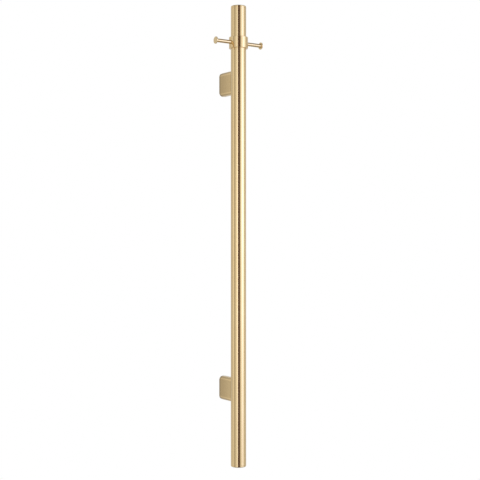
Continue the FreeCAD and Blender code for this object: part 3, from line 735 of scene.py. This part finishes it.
def add_floor(context):
    """Round pale floor below the rail, which fades into the white background at its rim."""
    studio = context.scene.rail_studio
    bpy.ops.mesh.primitive_circle_add(vertices=96, radius=FLOOR_RADIUS, fill_type="NGON")
    floor = context.object
    floor.name = "floor"
    floor.location = (TUBE_MIDDLE.x, TUBE_MIDDLE.y, CAD_BOX[0][2] - studio.floor_drop)
    floor.visible_glossy = False
    material, tree = new_material("pale_floor")
    grain = tree.noise((40.0, 40.0, 40.0), detail=4.0)
    pale = tree.add("ShaderNodeBsdfPrincipled", {}, {
        "Base Color": tree.blend(grain, (0.90, 0.90, 0.90), (0.88, 0.88, 0.88)),
        "Roughness": 0.9,
        "Emission Color": (1.0, 1.0, 1.0, 1.0),
        "Emission Strength": studio.floor_glow,
    })
    white = tree.add("ShaderNodeEmission", {}, {"Color": (1.0, 1.0, 1.0, 1.0), "Strength": 1.0})
    x, y = tree.place().parts()[:2]
    fade_start, fade_end = FLOOR_FADE
    rim = (x * x + y * y).math("SQRT").smoothed(fade_start, fade_end)
    both = tree.add("ShaderNodeMixShader", {}, {0: rim, 1: pale, 2: white})
    tree.add("ShaderNodeOutputMaterial", {}, {"Surface": both})
    floor.data.materials.append(material)


def add_studio_light(context):
    """Pale room with soft boxes and dark flags, by direction; the background is white.

    A direction's turn about the vertical picks the boxes and flags. The boxes fade out above
    and below, where only the room and its fill are left.
    """
    studio = context.scene.rail_studio
    world = bpy.data.worlds.new("studio")
    context.scene.world = world
    tree = Tree(world)
    x, y, z = tree.add("ShaderNodeTexCoord", {}, {}, "Generated").parts()
    level = (x * x + y * y).math("SQRT")

    def facing(middle, half_width, softness):
        """1 within half_width degrees of a direction, with soft edges."""
        azimuth = studio.camera_azimuth + math.radians(middle)
        cosine = (x * math.sin(azimuth) - y * math.cos(azimuth)) / level
        outer = math.radians(half_width + softness / 2)
        inner = math.radians(half_width - softness / 2)
        return cosine.math("ARCCOSINE").smoothed(outer, inner)

    boxes = (0.0, 0.0, 0.0)
    for middle, half_width, softness, height, light in SOFT_BOXES:
        off_height = z - height
        reach = facing(middle, half_width, softness) / (1.0 + off_height * off_height * BOX_FADE)
        box = tree.blend(reach, (0.0, 0.0, 0.0), light)
        boxes = tree.add("ShaderNodeVectorMath", {"operation": "ADD"}, {0: boxes, 1: box})
    shade = 1.0
    for middle, half_width, softness, share in DARK_FLAGS:
        shade = shade * (1.0 - facing(middle, half_width, softness) * share)
    room = studio.surround * (1.0 - z * z).math("MAXIMUM", ROOM_LEAST)
    steep = abs(z)
    side_fill = steep.smoothed(*SIDE_FILL_IN) * steep.smoothed(*SIDE_FILL_OUT) * facing(*SIDE_FILL)
    above_right = z.smoothed(*CEILING_IN) * facing(*DARK_CEILING)
    room = (room + side_fill * SIDE_FILL_LIGHT) * (1.0 - above_right * CEILING_SHARE)
    light = tree.add("ShaderNodeVectorMath", {"operation": "ADD"}, {0: boxes, 1: room})
    flagged = tree.blend(shade, FLAG_COLOUR, light)
    reflected = tree.add("ShaderNodeBackground", {}, {"Color": flagged, "Strength": 1.0})
    white = tree.add("ShaderNodeBackground", {}, {"Color": (1.0, 1.0, 1.0, 1.0), "Strength": 1.0})
    seen = tree.add("ShaderNodeLightPath", {}, {}, "Is Camera Ray")
    both = tree.add("ShaderNodeMixShader", {}, {0: seen, 1: reflected, 2: white})
    tree.add("ShaderNodeOutputWorld", {}, {"Surface": both})
    context.scene.view_settings.view_transform = "Standard"


class RAIL_PT_panel(Panel):
    """Lists the rail's pieces and settings"""

    bl_idname = "RAIL_PT_panel"
    bl_label = "Towel Rail"
    bl_space_type = "VIEW_3D"
    bl_region_type = "UI"
    bl_category = "Towel Rail"

    def draw(self, context):
        layout = self.layout
        for setting in SETTINGS:
            group = getattr(context.scene, setting)
            for name in group.__annotations__:
                layout.prop(group, name)
        for operator in OPERATORS:
            layout.operator(operator.bl_idname)


OPERATORS = (
    RAIL_OT_stage,
    RAIL_OT_heated_tube,
    RAIL_OT_end_caps,
    RAIL_OT_brackets,
    RAIL_OT_hook_collar,
    RAIL_OT_fasteners,
    RAIL_OT_heating_parts,
    RAIL_OT_seals_and_liner,
)
SETTINGS = {"rail_brass": BrassFinish, "rail_sizes": RailSizes, "rail_studio": RailStudio}


def register():
    for group in SETTINGS.values():
        bpy.utils.register_class(group)
    for name, group in SETTINGS.items():
        setattr(bpy.types.Scene, name, PointerProperty(type=group))
    for operator in OPERATORS:
        bpy.utils.register_class(operator)
    bpy.utils.register_class(RAIL_PT_panel)


def unregister():
    bpy.utils.unregister_class(RAIL_PT_panel)
    for operator in reversed(OPERATORS):
        bpy.utils.unregister_class(operator)
    for name, group in SETTINGS.items():
        delattr(bpy.types.Scene, name)
        bpy.utils.unregister_class(group)


def main():
    register()
    for operator in OPERATORS:
        group, name = operator.bl_idname.split(".")
        getattr(getattr(bpy.ops, group), name)()


if __name__ == "__main__":
    main()
